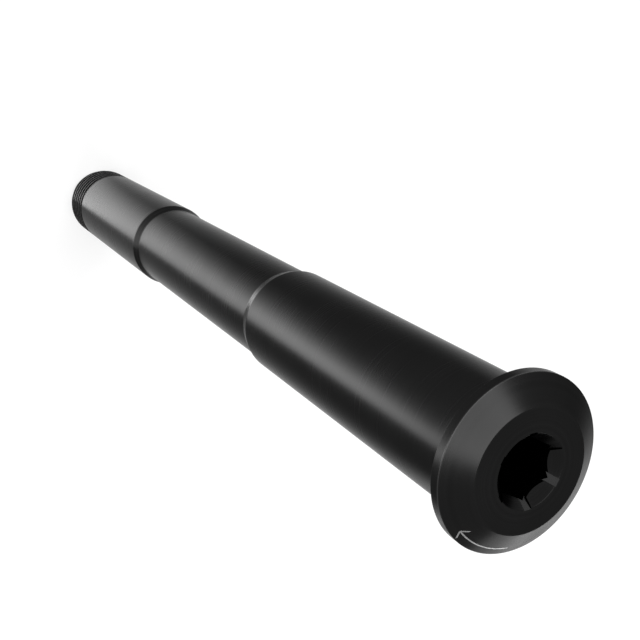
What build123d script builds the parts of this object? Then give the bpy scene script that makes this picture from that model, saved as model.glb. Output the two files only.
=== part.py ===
from build123d import *
import math
import os

# Lengths along the axle, measured up from the threaded tip
length_under_head = 148.0
end_seat_length = 48.0
head_seat_length = 48.0
taper_length = 1.8
head_thickness = 3.0

# Outside diameters: the thread is cut into the end seat, so the seat's diameter is also the thread's
seat_diameter = 15.0
waist_diameter = 14.0
flange_diameter = 19.2
face_diameter = 13.4

# Edges of the turned outside
tip_chamfer = 0.8
front_cone_depth = 1.75
flange_back_break = 0.15
under_head_fillet = 0.3
taper_blend_radius = 1.5

# Blind hollow drilled from the tip, which leaves a web of solid metal behind the key socket
hollow_diameter = 10.0
hollow_depth = 135.0
hollow_mouth_chamfer = 0.5

# Key socket in the head: a hexagon with a countersink and a flat-bottomed notch at each corner
key_sides = 6
key_across_flats = 6.0
key_clearance = 0.04
key_depth = 9.0
countersink_diameter = 8.0
countersink_angle = 82.0
notch_width = 0.9
notch_reach = 4.1
notch_depth = 0.85
notch_height = 2.0
notch_overrun = 0.5

# Sizes that follow from the ones above
total_length = length_under_head + head_thickness
seat_radius = seat_diameter / 2
waist_radius = waist_diameter / 2
waist_bottom = end_seat_length + taper_length
head_seat_bottom = length_under_head - head_seat_length
waist_top = head_seat_bottom - taper_length
corner_spacing = 360 // key_sides
corner_to_flat = corner_spacing / 2
socket_across_flats = key_across_flats + key_clearance
socket_across_corners = socket_across_flats / math.cos(math.radians(corner_to_flat))


def outer_outline():
    """Radius and height of each corner of the turned outside, from the tip up to the front face."""
    flange_radius = flange_diameter / 2
    return [
        (seat_radius - tip_chamfer, 0),
        (seat_radius, tip_chamfer),
        (seat_radius, end_seat_length),
        (waist_radius, waist_bottom),
        (waist_radius, waist_top),
        (seat_radius, head_seat_bottom),
        (seat_radius, length_under_head),
        (flange_radius - flange_back_break, length_under_head),
        (flange_radius, length_under_head + flange_back_break),
        (flange_radius, total_length - front_cone_depth),
        (face_diameter / 2, total_length),
    ]


def countersink_outline():
    """Radius and height of each corner of the socket's countersink, from the front face to the axis."""
    countersink_radius = countersink_diameter / 2
    countersink_height = countersink_radius / math.tan(math.radians(countersink_angle / 2))
    return [
        (countersink_radius, total_length),
        (0, total_length - countersink_height),
    ]


def hollow_outline():
    """Radius and height of each corner of the hollow, from its flat end on the axis down to the tip."""
    hollow_radius = hollow_diameter / 2
    return [
        (0, hollow_depth),
        (hollow_radius, hollow_depth),
        (hollow_radius, hollow_mouth_chamfer),
        (hollow_radius + hollow_mouth_chamfer, 0),
    ]


def corners_at(section, places):
    """The corners of a section that lie at the given radius and height."""
    spots = [Vector(radius, 0, height) for radius, height in places]
    return [section.vertices().sort_by_distance(spot)[0] for spot in spots]


def turned_body():
    """The axle as it leaves the lathe: the half section turned about its axis."""
    taper_ends = [
        (seat_radius, end_seat_length),
        (waist_radius, waist_bottom),
        (waist_radius, waist_top),
        (seat_radius, head_seat_bottom),
    ]
    corners = outer_outline() + countersink_outline() + hollow_outline()
    outline = [Vector(radius, 0, height) for radius, height in corners]
    section = make_face(Polyline(*outline, close=True))
    section = fillet(corners_at(section, taper_ends), taper_blend_radius)
    section = fillet(corners_at(section, [(seat_radius, length_under_head)]), under_head_fillet)
    return revolve(section, axis=Axis.Z)


def hexagon_cut():
    """The hexagonal hole that takes the key, with two of its flats square to X."""
    floor = Plane.XY.offset(total_length - key_depth)
    hexagon = RegularPolygon(socket_across_flats / 2, key_sides, major_radius=False, rotation=corner_to_flat)
    return extrude(floor * hexagon, key_depth)


def corner_notches():
    """Slanted notches that lead the key in, each running down to a corner of the hexagon."""
    floor_start = Vector(0, notch_reach, total_length)
    floor_end = Vector(0, socket_across_corners / 2, total_length - notch_depth)
    slope = floor_end - floor_start
    away_from_floor = slope.cross(Vector(1, 0, 0))
    floor = Plane(floor_start, x_dir=slope, z_dir=away_from_floor)
    cutter_length = 2 * (slope.length + notch_overrun)
    standing_on_floor = (Align.CENTER, Align.CENTER, Align.MIN)
    notch = floor * Box(cutter_length, notch_width, notch_height, align=standing_on_floor)
    return [Rot(0, 0, turn) * notch for turn in range(0, 360, corner_spacing)]


def thru_axle():
    """The whole axle: one turned piece with the key socket cut into its head."""
    axle = turned_body() - hexagon_cut()
    for notch in corner_notches():
        axle = axle - notch
    return axle


os.makedirs("parts", exist_ok=True)
export_step(thru_axle(), "parts/thru_axle.step")
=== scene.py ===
import math

import bmesh
import bpy
from mathutils import Matrix, Vector


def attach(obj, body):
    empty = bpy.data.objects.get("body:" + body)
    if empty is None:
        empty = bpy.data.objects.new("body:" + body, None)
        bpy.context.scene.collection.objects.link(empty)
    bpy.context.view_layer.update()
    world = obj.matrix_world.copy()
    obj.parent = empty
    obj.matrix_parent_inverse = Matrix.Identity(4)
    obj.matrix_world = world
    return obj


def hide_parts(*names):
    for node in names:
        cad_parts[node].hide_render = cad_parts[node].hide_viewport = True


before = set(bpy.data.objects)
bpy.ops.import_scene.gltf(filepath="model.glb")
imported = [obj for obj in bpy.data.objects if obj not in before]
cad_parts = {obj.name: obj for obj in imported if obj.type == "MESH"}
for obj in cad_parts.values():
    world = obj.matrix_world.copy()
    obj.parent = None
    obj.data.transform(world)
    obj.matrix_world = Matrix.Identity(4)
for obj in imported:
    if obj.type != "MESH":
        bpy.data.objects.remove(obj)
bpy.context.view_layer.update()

MM = 0.001
UP = Vector((0, 0, 1))
SIDEWAYS = Vector((1, 0, 0))

# Outline of the turned axle in millimetres, measured up from the threaded tip
LENGTH_UNDER_HEAD = 148.0
SEAT_LENGTH = 48.0
TAPER_LENGTH = 1.8
TOTAL_LENGTH = 151.0
SEAT_RADIUS = 7.5
WAIST_RADIUS = 7.0
FLANGE_RADIUS = 9.6
FACE_RADIUS = 6.7
TIP_CHAMFER = 0.8
FRONT_CONE_DEPTH = 1.75
FLANGE_BACK_BREAK = 0.15
HOLLOW_RADIUS = 5.0
HOLLOW_DEPTH = 135.0
HOLLOW_MOUTH_CHAMFER = 0.5

# Radius of each rounded corner in millimetres
TAPER_BLEND = 1.5
UNDER_HEAD_FILLET = 0.3
RIM_ROUNDING = 0.07
FACE_ROUNDING = 0.15
COUNTERSINK_ROUNDING = 0.08
SMALL_ROUNDING = 0.05

# Faces along a rounding, and how far beside it in millimetres a ring keeps the straight part's shading true
ROUNDING_STEPS = 5
SUPPORT_GAP = 0.015

# Right-hand metric thread of basic profile in millimetres, with the place of one groove's middle
THREAD_LENGTH = 10.0
THREAD_PITCH = 1.5
THREAD_DEPTH = 0.5413 * THREAD_PITCH
THREAD_RUN_OUT = 0.7
THREAD_START_ANGLE = 260.0
THREAD_START_HEIGHT = 8.95

# Rows of faces in one pitch, on each flank and on the root
THREAD_ROWS = 16
THREAD_FLANK_ROWS = 5
THREAD_ROOT_ROWS = 4
THREAD_PITCHES_BELOW_TIP = 2

# Key socket in the head, in millimetres and degrees
KEY_SIDES = 6
SOCKET_ACROSS_FLATS = 6.04
SOCKET_CORNER_RADIUS = SOCKET_ACROSS_FLATS / 2 / math.cos(math.pi / KEY_SIDES)
KEY_DEPTH = 9.0
HEXAGON_OVERRUN = 1.0
COUNTERSINK_RADIUS = 4.0
COUNTERSINK_ANGLE = 82.0
NOTCH_WIDTH = 0.9
NOTCH_REACH = 4.1
NOTCH_DEPTH = 0.85
NOTCH_HEIGHT = 2.0
NOTCH_OVERRUN = 0.5

# Faces round the axle, and the angle in degrees past which an edge shows as sharp
COLUMNS = 192
SHARP_ANGLE = 25

# Satin black anodising: its colour and roughness, how far they vary, and how its reflection fades at the edges
BLACK = 0.012
BLACK_SPREAD = 0.003
SATIN = 0.26
SATIN_SPREAD = 0.06
EDGE_TINT = 0.5

# Sizes of the anodising's detail and depths of its relief, in millimetres
CLOUD_SIZE = 6.0
TURNING_SIZE = 0.35
GRAIN_SIZE = 0.12
TURNING_DEPTH = 0.0003
GRAIN_DEPTH = 0.0003
NOISE_DETAIL = 2.0
NOISE_MEAN = 0.5

# Flange edges painted paler as a painted highlight along them, as radius and height, with the width of that
# band, in millimetres
HIGHLIT_EDGES = (
    (FLANGE_RADIUS, TOTAL_LENGTH - FRONT_CONE_DEPTH),
    (FLANGE_RADIUS - FLANGE_BACK_BREAK / 2, LENGTH_UNDER_HEAD + FLANGE_BACK_BREAK / 2),
)
EDGE_HIGHLIGHT_WIDTH = 0.1
EDGE_HIGHLIGHT_GREY = 0.045

# Arrow on the front cone that shows which way the axle tightens, in millimetres and degrees
ARROW_RADIUS = 8.72
ARROW_TIP_ANGLE = -24.4
ARROW_TAIL_ANGLE = 22.6
ARROW_LINE_WIDTH = 0.14
ARROW_HEAD_LENGTH = 0.65
ARROW_HEAD_SLOPE = 1.0
ARROW_LOWEST = 149.0
MARK_GREY = 0.17
MARK_ROUGHNESS = 0.5

# Camera of the photograph, in millimetres and degrees
CAMERA_PLACE = Vector((-8.611, -68.150, 211.255))
CAMERA_AZIMUTH = -5.378
CAMERA_ELEVATION = 56.993
CAMERA_ROLL = 120.773
CAMERA_LENS = 51.75
CAMERA_NEAREST = 5.0

# White background: the world's light, and a floor in metres that glows more where the lamps light it less
WORLD_LEVEL = 0.3
FLOOR_SIZE = 6.0
FLOOR_COLOUR = 0.3
FLOOR_GLOW_NEAR = 0.65
FLOOR_GLOW_FAR = 0.92
FLOOR_GLOW_REACH = 0.6

# Softbox over the head, in metres from the middle of the front face
HEAD_CENTRE = Vector((0, 0, TOTAL_LENGTH)) * MM
OVERHEAD_OFFSET = Vector((-0.105, -0.079, 0.5))
OVERHEAD_LONG_SIDE = Vector((0.953, -0.302, 0))

# Upright strips beside the shank, in metres
STRIP_DISTANCE = 0.14
STRIP_HEIGHT = 0.13

# Low softbox beside the foot, whose straight edge ends the shine on the shank, in degrees and metres
SHINE_EDGE_ANGLE = 287.8
SHINE_EDGE_AZIMUTH = 312.8
SHINE_START = -0.015
SHINE_END = 0.170
SHINE_WIDTH = 0.110
SHINE_HEIGHT = 0.0004
SHINE_SPREAD = 110
SHINE_LEVEL = 13.7

# How that softbox falls off from its brightest place, along and across its edge, and round the foot
SHINE_PEAK_ALONG = 0.080
SHINE_PEAK_ACROSS = 0.020
SHINE_FALL_ALONG = 0.057
SHINE_FALL_ACROSS = 0.022
SHINE_PEAK_AZIMUTH = 285
SHINE_FALL_POWER = 1.8


def rounded_corner(previous, corner, following, rounding):
    """Points of an arc in place of a corner, with a supporting point beside each of its ends."""
    before = (previous - corner).normalized()
    after = (following - corner).normalized()
    half_angle = before.angle(after) / 2
    middle = corner + (before + after).normalized() * (rounding / math.sin(half_angle))
    reach = rounding / math.tan(half_angle)
    start = corner + before * reach - middle
    turn = start.angle_signed(corner + after * reach - middle)
    arc = []
    for step in range(ROUNDING_STEPS + 1):
        arm = start.copy()
        arm.rotate(Matrix.Rotation(-turn * step / ROUNDING_STEPS, 2))
        arc.append(middle + arm)
    return [arc[0] + before * SUPPORT_GAP, *arc, arc[-1] + after * SUPPORT_GAP]


def rounded_outline(corners):
    """Turns (radius, height, rounding) corners into points, with an arc at each rounded corner."""
    spots = [Vector((radius, height)) for radius, height, rounding in corners]
    points = []
    for i, (radius, height, rounding) in enumerate(corners):
        if rounding == 0:
            points.append(spots[i])
        else:
            points += rounded_corner(spots[i - 1], spots[i], spots[i + 1], rounding)
    return points


def hollow_corners():
    """The hollow from its end on the axis down to the tip face."""
    return [
        (0, HOLLOW_DEPTH, 0),
        (HOLLOW_RADIUS, HOLLOW_DEPTH, SMALL_ROUNDING),
        (HOLLOW_RADIUS, HOLLOW_MOUTH_CHAMFER, SMALL_ROUNDING),
        (HOLLOW_RADIUS + HOLLOW_MOUTH_CHAMFER, 0, SMALL_ROUNDING),
        (SEAT_RADIUS - TIP_CHAMFER, 0, 0),
    ]


def shank_and_head_corners():
    """The outside from the end of the thread up to the front face and down the countersink."""
    countersink_depth = COUNTERSINK_RADIUS / math.tan(math.radians(COUNTERSINK_ANGLE / 2))
    head_seat_bottom = LENGTH_UNDER_HEAD - SEAT_LENGTH
    return [
        (SEAT_RADIUS, THREAD_LENGTH, 0),
        (SEAT_RADIUS, THREAD_LENGTH + SUPPORT_GAP, 0),
        (SEAT_RADIUS, SEAT_LENGTH, TAPER_BLEND),
        (WAIST_RADIUS, SEAT_LENGTH + TAPER_LENGTH, TAPER_BLEND),
        (WAIST_RADIUS, head_seat_bottom - TAPER_LENGTH, TAPER_BLEND),
        (SEAT_RADIUS, head_seat_bottom, TAPER_BLEND),
        (SEAT_RADIUS, LENGTH_UNDER_HEAD, UNDER_HEAD_FILLET),
        (FLANGE_RADIUS - FLANGE_BACK_BREAK, LENGTH_UNDER_HEAD, SMALL_ROUNDING),
        (FLANGE_RADIUS, LENGTH_UNDER_HEAD + FLANGE_BACK_BREAK, SMALL_ROUNDING),
        (FLANGE_RADIUS, TOTAL_LENGTH - FRONT_CONE_DEPTH, RIM_ROUNDING),
        (FACE_RADIUS, TOTAL_LENGTH, FACE_ROUNDING),
        (COUNTERSINK_RADIUS, TOTAL_LENGTH, COUNTERSINK_ROUNDING),
        (0, TOTAL_LENGTH - countersink_depth, 0),
    ]


def place(radius, height, angle):
    """A point in metres from radius and height in millimetres and an angle in radians."""
    return Vector((radius * math.cos(angle), radius * math.sin(angle), height)) * MM


def column_angle(column):
    """The angle in radians of one of the columns of vertices round the axle."""
    return 2 * math.pi * column / COLUMNS


def ring(mesh, point):
    """A ring of vertices round the axis, or the one vertex that lies on it."""
    radius, height = point
    if radius == 0:
        return [mesh.verts.new(place(0, height, 0))]
    return [mesh.verts.new(place(radius, height, column_angle(c))) for c in range(COLUMNS)]


def add_face(mesh, corners):
    """A face from corners of which some may be the same vertex."""
    distinct = [v for i, v in enumerate(corners) if v is not corners[i - 1]]
    if len(set(distinct)) > 2:
        mesh.faces.new(distinct)


def join_rings(mesh, lower, upper):
    """Faces between two rings, either of which may be one vertex on the axis."""
    for column in range(COLUMNS):
        after = (column + 1) % COLUMNS
        corners = ((lower, column), (lower, after), (upper, after), (upper, column))
        add_face(mesh, [vertices[c % len(vertices)] for vertices, c in corners])


def thread_groove(row):
    """How deep the basic thread profile is at a row, from 0 on the crest to 1 on the root."""
    row = row % THREAD_ROWS
    root_end = THREAD_FLANK_ROWS + THREAD_ROOT_ROWS
    if row <= THREAD_FLANK_ROWS:
        return row / THREAD_FLANK_ROWS
    if row <= root_end:
        return 1
    if row <= root_end + THREAD_FLANK_ROWS:
        return 1 - (row - root_end) / THREAD_FLANK_ROWS
    return 0


def thread_radius(row, height):
    """Radius of the thread in millimetres, where the groove runs out at its end and the tip is chamfered."""
    depth = THREAD_DEPTH * thread_groove(row) * min(1, (THREAD_LENGTH - height) / THREAD_RUN_OUT)
    return min(SEAT_RADIUS - depth, SEAT_RADIUS - TIP_CHAMFER + height)


def add_thread(mesh, tip_ring, end_ring):
    """A helical thread between two rings, with rows of vertices that climb with it."""
    row_height = THREAD_PITCH / THREAD_ROWS
    merging_height = row_height / 4
    root_middle = (THREAD_FLANK_ROWS + THREAD_ROOT_ROWS / 2) * row_height
    first_root = THREAD_START_HEIGHT - THREAD_PITCH * THREAD_START_ANGLE / 360
    base = first_root % THREAD_PITCH - root_middle - THREAD_PITCHES_BELOW_TIP * THREAD_PITCH
    made = {}

    def vertex(row, column):
        height = base + row_height * row + THREAD_PITCH * column / COLUMNS
        if height <= merging_height:
            return tip_ring[column]
        if height >= THREAD_LENGTH - merging_height:
            return end_ring[column]
        if (row, column) not in made:
            point = place(thread_radius(row, height), height, column_angle(column))
            made[row, column] = mesh.verts.new(point)
        return made[row, column]

    rows = math.ceil((THREAD_LENGTH - base) / row_height) + 1
    for column in range(COLUMNS):
        after = (column + 1) % COLUMNS
        climbed = THREAD_ROWS if after == 0 else 0
        for row in range(-THREAD_ROWS, rows):
            add_face(mesh, [
                vertex(row, column),
                vertex(row + climbed, after),
                vertex(row + 1 + climbed, after),
                vertex(row + 1, column),
            ])


def turned_axle():
    """The axle as it leaves the lathe, as one closed mesh."""
    mesh = bmesh.new()
    inside = [ring(mesh, point) for point in rounded_outline(hollow_corners())]
    outside = [ring(mesh, point) for point in rounded_outline(shank_and_head_corners())]
    for rings in (inside, outside):
        for lower, upper in zip(rings, rings[1:]):
            join_rings(mesh, lower, upper)
    add_thread(mesh, inside[-1], outside[0])
    bmesh.ops.recalc_face_normals(mesh, faces=mesh.faces)
    return mesh


def hexagon_cutter():
    """A hexagonal bar that stands on the socket's floor, with corners on the Y axis."""
    mesh = bmesh.new()
    angles = [math.pi / 2 + 2 * math.pi * k / KEY_SIDES for k in range(KEY_SIDES)]
    lower, upper = (
        [mesh.verts.new(place(SOCKET_CORNER_RADIUS, height, angle)) for angle in angles]
        for height in (TOTAL_LENGTH - KEY_DEPTH, TOTAL_LENGTH + HEXAGON_OVERRUN)
    )
    mesh.faces.new(lower[::-1])
    mesh.faces.new(upper)
    for k in range(KEY_SIDES):
        after = (k + 1) % KEY_SIDES
        mesh.faces.new((lower[k], lower[after], upper[after], upper[k]))
    return mesh


def notch_cutters():
    """Slanted blocks that cut a flat lead-in at each corner of the hexagon."""
    mesh = bmesh.new()
    start = Vector((0, NOTCH_REACH, TOTAL_LENGTH))
    slope = Vector((0, SOCKET_CORNER_RADIUS, TOTAL_LENGTH - NOTCH_DEPTH)) - start
    along = slope.normalized()
    across = SIDEWAYS
    away = along.cross(across)
    length = 2 * (slope.length + NOTCH_OVERRUN)
    axes = Matrix((along * length, across * NOTCH_WIDTH, away * NOTCH_HEIGHT)).transposed()
    block = Matrix.Translation((start + away * NOTCH_HEIGHT / 2) * MM) @ (axes * MM).to_4x4()
    for k in range(KEY_SIDES):
        turn = Matrix.Rotation(2 * math.pi * k / KEY_SIDES, 3, "Z")
        bmesh.ops.create_cube(mesh, size=1, matrix=turn.to_4x4() @ block)
    bmesh.ops.recalc_face_normals(mesh, faces=mesh.faces)
    return mesh


def mesh_object(name, mesh):
    """An object in the scene that holds the finished mesh."""
    data = bpy.data.meshes.new(name)
    mesh.to_mesh(data)
    mesh.free()
    thing = bpy.data.objects.new(name, data)
    bpy.context.scene.collection.objects.link(thing)
    return thing


def apply_modifiers(thing):
    """Leaves the object with the mesh that its modifiers make."""
    bpy.context.view_layer.update()
    shaped = thing.evaluated_get(bpy.context.evaluated_depsgraph_get())
    finished = bpy.data.meshes.new_from_object(shaped)
    thing.modifiers.clear()
    thing.data = finished


def cut(thing, cutter):
    """Takes the cutter's shape out of the object and removes the cutter."""
    boolean = thing.modifiers.new("cut", "BOOLEAN")
    boolean.operation = "DIFFERENCE"
    boolean.solver = "EXACT"
    boolean.object = cutter
    apply_modifiers(thing)
    bpy.data.objects.remove(cutter)


def thru_axle():
    """The whole axle: one turned piece with the key socket cut into its head."""
    axle = mesh_object("axle_body", turned_axle())
    cut(axle, mesh_object("hexagon_cutter", hexagon_cutter()))
    cut(axle, mesh_object("notch_cutters", notch_cutters()))
    axle.data.shade_smooth()
    axle.data.set_sharp_from_angle(angle=math.radians(SHARP_ANGLE))
    return axle


def grey(level):
    """A neutral colour for a shader's socket."""
    return (level, level, level, 1)


def new_material(name):
    """A material with its node tree and its Principled shader."""
    material = bpy.data.materials.new(name)
    material.use_nodes = True
    return material, material.node_tree, material.node_tree.nodes["Principled BSDF"]


def feed(tree, socket, source):
    """Links a socket to another node's output, or sets it to a plain value."""
    if isinstance(source, bpy.types.NodeSocket):
        tree.links.new(source, socket)
    else:
        socket.default_value = source


def maths(tree, operation, *sources):
    """The result of a sum on numbers."""
    node = tree.nodes.new("ShaderNodeMath")
    node.operation = operation
    for socket, source in zip(node.inputs, sources):
        feed(tree, socket, source)
    return node.outputs["Value"]


def vector_maths(tree, operation, *sources):
    """The result of a sum on vectors, which is a number or a vector."""
    node = tree.nodes.new("ShaderNodeVectorMath")
    node.operation = operation
    for socket, source in zip(node.inputs, sources):
        feed(tree, socket, source)
    return node.outputs["Value" if operation in ("DOT_PRODUCT", "LENGTH", "DISTANCE") else "Vector"]


def blend(tree, share, first, second):
    """The first value where the share is 0 and the second where it is 1."""
    node = tree.nodes.new("ShaderNodeMix")
    share_socket, _, first_socket, second_socket = node.inputs[:4]
    feed(tree, share_socket, share)
    feed(tree, first_socket, first)
    feed(tree, second_socket, second)
    return node.outputs["Result"]


def noise(tree, size, spot):
    """Noise with features of a given size, through space or along one measure."""
    node = tree.nodes.new("ShaderNodeTexNoise")
    in_space = spot.type == "VECTOR"
    node.noise_dimensions = "3D" if in_space else "1D"
    tree.links.new(spot, node.inputs["Vector" if in_space else "W"])
    node.inputs["Scale"].default_value = 1 / size
    node.inputs["Detail"].default_value = NOISE_DETAIL
    return node.outputs[0]


def painted_edge_highlight(tree, radius, height, uneven):
    """How much painted edge highlight a place gets: about 1 on the highlit edges and 0 away from them."""
    section = tree.nodes.new("ShaderNodeCombineXYZ")
    feed(tree, section.inputs["X"], radius)
    feed(tree, section.inputs["Z"], height)
    painted_shine = 0.0
    for edge_radius, edge_height in HIGHLIT_EDGES:
        distance = vector_maths(tree, "DISTANCE", section.outputs[0], (edge_radius, 0, edge_height))
        nearness = maths(tree, "SUBTRACT", 1.0, maths(tree, "DIVIDE", distance, EDGE_HIGHLIGHT_WIDTH))
        painted_shine = maths(tree, "MAXIMUM", nearness, painted_shine)
    return maths(tree, "MULTIPLY", painted_shine, maths(tree, "DIVIDE", uneven, NOISE_MEAN))


def arrow_mark(tree, radius, angle, height):
    """1 on the lines of the arrow and 0 elsewhere."""
    tip = math.radians(ARROW_TIP_ANGLE) * ARROW_RADIUS
    length = math.radians(ARROW_TAIL_ANGLE - ARROW_TIP_ANGLE) * ARROW_RADIUS
    barb_width = ARROW_LINE_WIDTH * math.hypot(1, ARROW_HEAD_SLOPE)
    behind_tip = maths(tree, "SUBTRACT", maths(tree, "MULTIPLY", angle, ARROW_RADIUS), tip)
    off_line = maths(tree, "ABSOLUTE", maths(tree, "SUBTRACT", radius, ARROW_RADIUS))
    on_line = maths(tree, "LESS_THAN", off_line, ARROW_LINE_WIDTH / 2)
    on_length = maths(tree, "COMPARE", behind_tip, length / 2, length / 2)
    barb = maths(tree, "MULTIPLY", behind_tip, ARROW_HEAD_SLOPE)
    on_barb = maths(tree, "COMPARE", off_line, barb, barb_width / 2)
    on_head = maths(tree, "COMPARE", behind_tip, ARROW_HEAD_LENGTH / 2, ARROW_HEAD_LENGTH / 2)
    line = maths(tree, "MULTIPLY", on_line, on_length)
    barbs = maths(tree, "MULTIPLY", on_barb, on_head)
    on_cone = maths(tree, "GREATER_THAN", height, ARROW_LOWEST)
    return maths(tree, "MULTIPLY", maths(tree, "MAXIMUM", line, barbs), on_cone)


def fine_relief(tree, turning, grain):
    """A normal that shows the turning lines and the grain."""
    bump = tree.nodes.new("ShaderNodeBump")
    bump.inputs["Distance"].default_value = MM
    ridges = maths(tree, "MULTIPLY", turning, TURNING_DEPTH)
    feed(tree, bump.inputs["Height"], maths(tree, "MULTIPLY_ADD", grain, GRAIN_DEPTH, ridges))
    return bump.outputs["Normal"]


def black_anodised():
    """Satin black anodised aluminium with faint turning lines, a fine grain, a painted highlight along the
    flange edges and the arrow.
    """
    material, tree, shader = new_material("black_anodised")
    shader.inputs["Specular Tint"].default_value = grey(EDGE_TINT)

    spot = tree.nodes.new("ShaderNodeTexCoord").outputs["Object"]
    spot = vector_maths(tree, "MULTIPLY", spot, (1 / MM, 1 / MM, 1 / MM))
    parts = tree.nodes.new("ShaderNodeSeparateXYZ")
    tree.links.new(spot, parts.inputs[0])
    height = parts.outputs["Z"]
    radius = vector_maths(tree, "LENGTH", vector_maths(tree, "MULTIPLY", spot, (1, 1, 0)))
    angle = maths(tree, "ARCTAN2", parts.outputs["Y"], parts.outputs["X"])

    cloud = noise(tree, CLOUD_SIZE, spot)
    grain = noise(tree, GRAIN_SIZE, spot)
    turning = noise(tree, TURNING_SIZE, maths(tree, "ADD", radius, height))
    uneven = maths(tree, "DIVIDE", maths(tree, "ADD", cloud, turning), 2.0)
    mark = arrow_mark(tree, radius, angle, height)

    black = blend(tree, uneven, BLACK - BLACK_SPREAD, BLACK + BLACK_SPREAD)
    # Paler base colour on the flange edges: a painted highlight along them, not real wear.
    black = blend(tree, painted_edge_highlight(tree, radius, height, cloud), black, EDGE_HIGHLIGHT_GREY)
    satin = blend(tree, uneven, SATIN - SATIN_SPREAD, SATIN + SATIN_SPREAD)
    tree.links.new(blend(tree, mark, black, MARK_GREY), shader.inputs["Base Color"])
    tree.links.new(blend(tree, mark, satin, MARK_ROUGHNESS), shader.inputs["Roughness"])
    tree.links.new(maths(tree, "SUBTRACT", 1.0, mark), shader.inputs["Metallic"])
    tree.links.new(fine_relief(tree, turning, grain), shader.inputs["Normal"])
    return material


def photo_camera():
    """The camera at the photograph's place, turned and rolled as the photograph was taken."""
    azimuth, elevation, roll = (math.radians(a) for a in (CAMERA_AZIMUTH, CAMERA_ELEVATION, CAMERA_ROLL))
    back = Vector((
        math.sin(azimuth) * math.cos(elevation),
        -math.cos(azimuth) * math.cos(elevation),
        math.sin(elevation),
    ))
    level_right = UP.cross(back).normalized()
    level_up = back.cross(level_right)
    right = level_right * math.cos(roll) + level_up * math.sin(roll)
    up = back.cross(right)
    lens = bpy.data.cameras.new("photo_camera")
    lens.lens = CAMERA_LENS
    lens.clip_start = CAMERA_NEAREST * MM
    camera = bpy.data.objects.new("photo_camera", lens)
    axes = Matrix((right, up, back)).transposed().to_4x4()
    camera.matrix_world = Matrix.Translation(CAMERA_PLACE * MM) @ axes
    bpy.context.scene.collection.objects.link(camera)
    bpy.context.scene.camera = camera


def seen_background(tree):
    """1 for rays from the camera, a gloss or a glass, which all show the same pale background."""
    path = tree.nodes.new("ShaderNodeLightPath")
    seen = maths(tree, "MAXIMUM", path.outputs["Is Camera Ray"], path.outputs["Is Glossy Ray"])
    return maths(tree, "MAXIMUM", seen, path.outputs["Is Transmission Ray"])


def pale_floor_material():
    """A matt floor whose glow makes up for the light that falls off away from the foot."""
    material, tree, shader = new_material("pale_floor")
    shader.inputs["Base Color"].default_value = grey(FLOOR_COLOUR)
    shader.inputs["Roughness"].default_value = 1.0
    shader.inputs["Specular IOR Level"].default_value = 0.0
    shader.inputs["Emission Color"].default_value = grey(1)
    spot = tree.nodes.new("ShaderNodeTexCoord").outputs["Object"]
    far = maths(tree, "DIVIDE", vector_maths(tree, "LENGTH", spot), FLOOR_GLOW_REACH)
    glow = blend(tree, far, FLOOR_GLOW_NEAR, FLOOR_GLOW_FAR)
    glow = maths(tree, "MULTIPLY", seen_background(tree), glow)
    tree.links.new(glow, shader.inputs["Emission Strength"])
    return material


def pale_floor():
    """The floor that the axle stands on."""
    mesh = bmesh.new()
    bmesh.ops.create_grid(mesh, x_segments=1, y_segments=1, size=FLOOR_SIZE / 2)
    floor = mesh_object("floor", mesh)
    floor.data.materials.append(pale_floor_material())


def studio_world():
    """Even light from all round, which looks white."""
    world = bpy.data.worlds.new("studio")
    world.use_nodes = True
    tree = world.node_tree
    background = tree.nodes["Background"]
    background.inputs["Color"].default_value = grey(1)
    level = maths(tree, "MAXIMUM", seen_background(tree), WORLD_LEVEL)
    tree.links.new(level, background.inputs["Strength"])
    bpy.context.scene.world = world


def towards(azimuth, elevation=0.0):
    """The direction at an azimuth measured from +X towards +Y and an elevation, in degrees."""
    azimuth, elevation = math.radians(azimuth), math.radians(elevation)
    level = math.cos(elevation)
    return Vector((level * math.cos(azimuth), level * math.sin(azimuth), math.sin(elevation)))


def softbox(name, centre, facing, long_side, length, width, level, gloss_only=False):
    """A rectangular soft lamp of a given brightness, in metres, that the camera doesn't see."""
    lamp = bpy.data.lights.new(name, "AREA")
    lamp.shape = "RECTANGLE"
    lamp.size = length
    lamp.size_y = width
    lamp.energy = level * math.pi * length * width
    box = bpy.data.objects.new(name, lamp)
    back = -facing.normalized()
    along = (long_side - back * long_side.dot(back)).normalized()
    axes = Matrix((along, back.cross(along), back)).transposed().to_4x4()
    box.matrix_world = Matrix.Translation(centre) @ axes
    box.visible_camera = False
    box.visible_diffuse = not gloss_only
    bpy.context.scene.collection.objects.link(box)
    return lamp


def head_softbox(name, azimuth, elevation, distance, **size_and_level):
    """A softbox that faces the head from a direction in degrees and a distance in metres."""
    direction = towards(azimuth, elevation)
    softbox(name, HEAD_CENTRE + direction * distance, -direction, **size_and_level)


def shank_strip(name, azimuth, width, level):
    """An upright softbox that stands on the floor beside the shank."""
    direction = towards(azimuth)
    centre = direction * STRIP_DISTANCE + UP * (STRIP_HEIGHT / 2)
    softbox(name, centre, -direction, UP, STRIP_HEIGHT, width, level)


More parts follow.
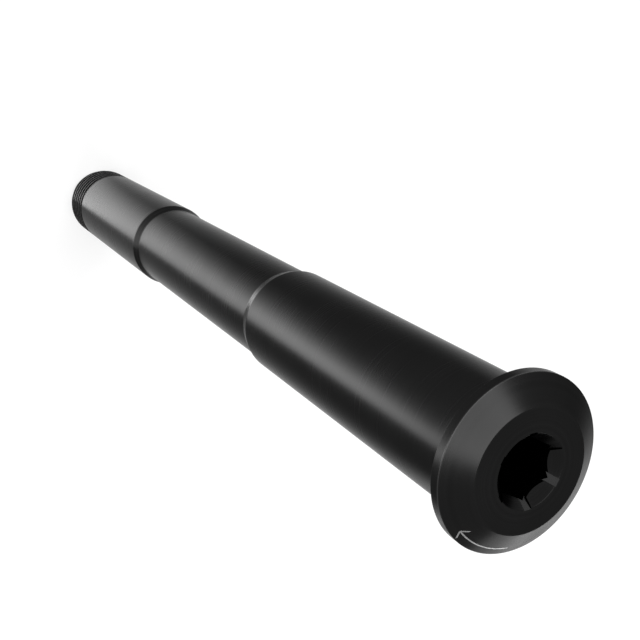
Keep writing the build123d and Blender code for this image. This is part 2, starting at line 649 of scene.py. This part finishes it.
def fall_off(lamp, edge, along, across):
    """Makes a lamp bright at one place on its edge and dimmer away from it and round the foot."""
    lamp.use_nodes = True
    tree = lamp.node_tree
    spot = tree.nodes.new("ShaderNodeNewGeometry").outputs["Position"]
    peak = edge + along * SHINE_PEAK_ALONG + across * SHINE_PEAK_ACROSS
    from_peak = vector_maths(tree, "SUBTRACT", spot, peak)
    far_along = vector_maths(tree, "DOT_PRODUCT", from_peak, along / SHINE_FALL_ALONG)
    far_across = vector_maths(tree, "DOT_PRODUCT", from_peak, across / SHINE_FALL_ACROSS)
    along_squared = maths(tree, "MULTIPLY", far_along, far_along)
    squared = maths(tree, "MULTIPLY_ADD", far_across, far_across, along_squared)
    bell = maths(tree, "EXPONENT", maths(tree, "DIVIDE", squared, -2.0))
    heading = vector_maths(tree, "NORMALIZE", spot)
    facing = vector_maths(tree, "DOT_PRODUCT", heading, towards(SHINE_PEAK_AZIMUTH))
    round_foot = maths(tree, "POWER", maths(tree, "MAXIMUM", facing, 0.0), SHINE_FALL_POWER)
    strength = maths(tree, "MULTIPLY", bell, round_foot)
    tree.links.new(strength, tree.nodes["Emission"].inputs["Strength"])


def low_softbox():
    """The lamp on the floor in front that gives the shank its shine."""
    edge = towards(SHINE_EDGE_ANGLE) * SEAT_RADIUS * MM
    along = towards(SHINE_EDGE_AZIMUTH)
    across = towards(SHINE_EDGE_AZIMUTH - 90)
    centre = edge + along * (SHINE_START + SHINE_END) / 2 + across * SHINE_WIDTH / 2
    centre.z = SHINE_HEIGHT
    length = SHINE_END - SHINE_START
    lamp = softbox("low_softbox", centre, UP, along, length, SHINE_WIDTH, SHINE_LEVEL, gloss_only=True)
    lamp.spread = math.radians(SHINE_SPREAD)
    fall_off(lamp, edge, along, across)


def studio_lamps():
    """Softboxes round the head, strips beside the shank and the low softbox in front."""
    overhead = HEAD_CENTRE + OVERHEAD_OFFSET
    softbox("overhead_softbox", overhead, -UP, OVERHEAD_LONG_SIDE, length=0.56, width=0.22, level=8.1)
    head_softbox("side_softbox", azimuth=60, elevation=0, distance=0.5,
                 long_side=UP, length=0.2, width=0.3, level=8.5)
    head_softbox("front_softbox", azimuth=276, elevation=27, distance=0.6,
                 long_side=SIDEWAYS, length=0.2, width=0.17, level=4.5)
    head_softbox("left_softbox", azimuth=172, elevation=12, distance=0.6,
                 long_side=UP, length=0.16, width=0.16, level=4.0)
    shank_strip("right_strip", azimuth=18, width=0.08, level=3.5)
    shank_strip("left_strip", azimuth=150, width=0.08, level=2.2)
    shank_strip("front_strip", azimuth=297, width=0.05, level=2.0)
    low_softbox()


axle = thru_axle()
axle.data.materials.clear()
axle.data.materials.append(black_anodised())
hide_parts("thru_axle")
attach(axle, "root")

photo_camera()
pale_floor()
studio_world()
studio_lamps()

bpy.context.scene.view_settings.view_transform = "Standard"
